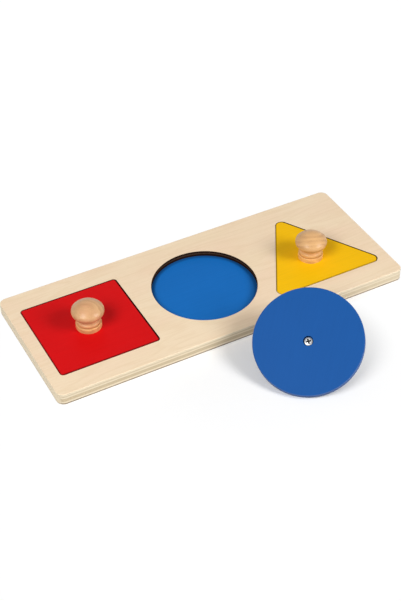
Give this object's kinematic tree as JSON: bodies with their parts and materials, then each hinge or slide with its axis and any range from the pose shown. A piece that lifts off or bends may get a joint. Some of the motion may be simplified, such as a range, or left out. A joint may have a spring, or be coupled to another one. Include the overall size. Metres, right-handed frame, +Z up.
{
  "type": "peg puzzle",
  "caption": "Plywood peg puzzle: painted shapes with turned knobs drop into matching recesses with coloured floors, and the disc lies lifted out in front of the board.",
  "frame": {"origin": "centre of the board's underside", "axes": "+X along the board, from the square to the triangle; +Y towards the board's back edge; +Z up"},
  "size_m": [0.301, 0.2099, 0.0481],
  "materials": {
    "plywood": "satin clear lacquer on pale plywood",
    "red_paint": "satin red paint on plywood",
    "blue_paint": "satin blue paint on plywood",
    "yellow_paint": "satin yellow paint on plywood",
    "beech": "clear lacquer on turned beech",
    "screw_steel": "zinc-plated"
  },
  "bodies": {
    "board": {"base_plate": "plywood", "frame_plate": "plywood", "red_floor": "red_paint", "blue_floor": "blue_paint", "yellow_floor": "yellow_paint"},
    "red_piece": {"red_square": "red_paint", "red_knob": "beech", "red_screw": "screw_steel"},
    "blue_piece": {"blue_disc": "blue_paint", "blue_knob": "beech", "blue_screw": "screw_steel"},
    "yellow_piece": {"yellow_triangle": "yellow_paint", "yellow_knob": "beech", "yellow_screw": "screw_steel"}
  },
  "joints": [
    {"name": "red_lift", "type": "slide", "parent": "board", "child": "red_piece", "axis": [0, 0, 1], "range_m": [0, 0.06]},
    {"name": "blue_lift", "type": "slide", "parent": "board", "child": "blue_piece", "axis": [0, 0, 1], "range_m": [0, 0.06]},
    {"name": "yellow_lift", "type": "slide", "parent": "board", "child": "yellow_piece", "axis": [0, 0, 1], "range_m": [0, 0.06]}
  ]
}
